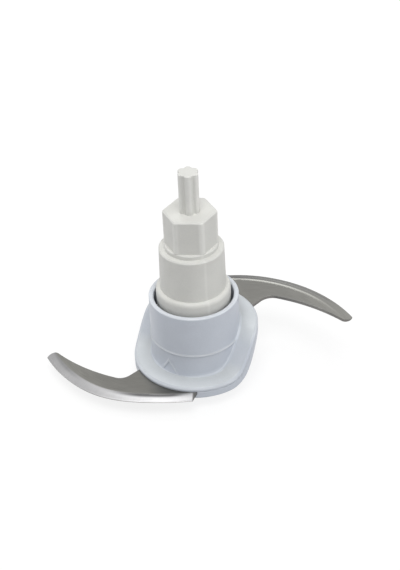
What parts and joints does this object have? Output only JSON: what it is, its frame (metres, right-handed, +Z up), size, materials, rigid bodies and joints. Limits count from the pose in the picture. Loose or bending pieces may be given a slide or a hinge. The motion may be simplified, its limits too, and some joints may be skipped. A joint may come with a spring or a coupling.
{
  "type": "food processor blade",
  "caption": "Food processor knife: a bent steel sheet with a low and a high swept wing in a round plastic hub, on a stepped hollow drive shaft with a hexagon and a lobed pin.",
  "frame": {"origin": "on the turning axis, in the plane of the foot, at the mouth of the shaft's column bore", "axes": "+Z up along the turning axis, towards the lobed pin; a corner of the shaft's hexagon points along +X"},
  "size_m": [0.1469, 0.077, 0.1109],
  "materials": {
    "hub_plastic": "satin moulded",
    "blade_steel": "fine rolled flats, ground cutting edges",
    "shaft_plastic": "matte moulded"
  },
  "bodies": {
    "root": {"hub_body": "hub_plastic", "hub_base": "hub_plastic", "blade": "blade_steel", "drive_shaft": "shaft_plastic"}
  },
  "joints": []
}
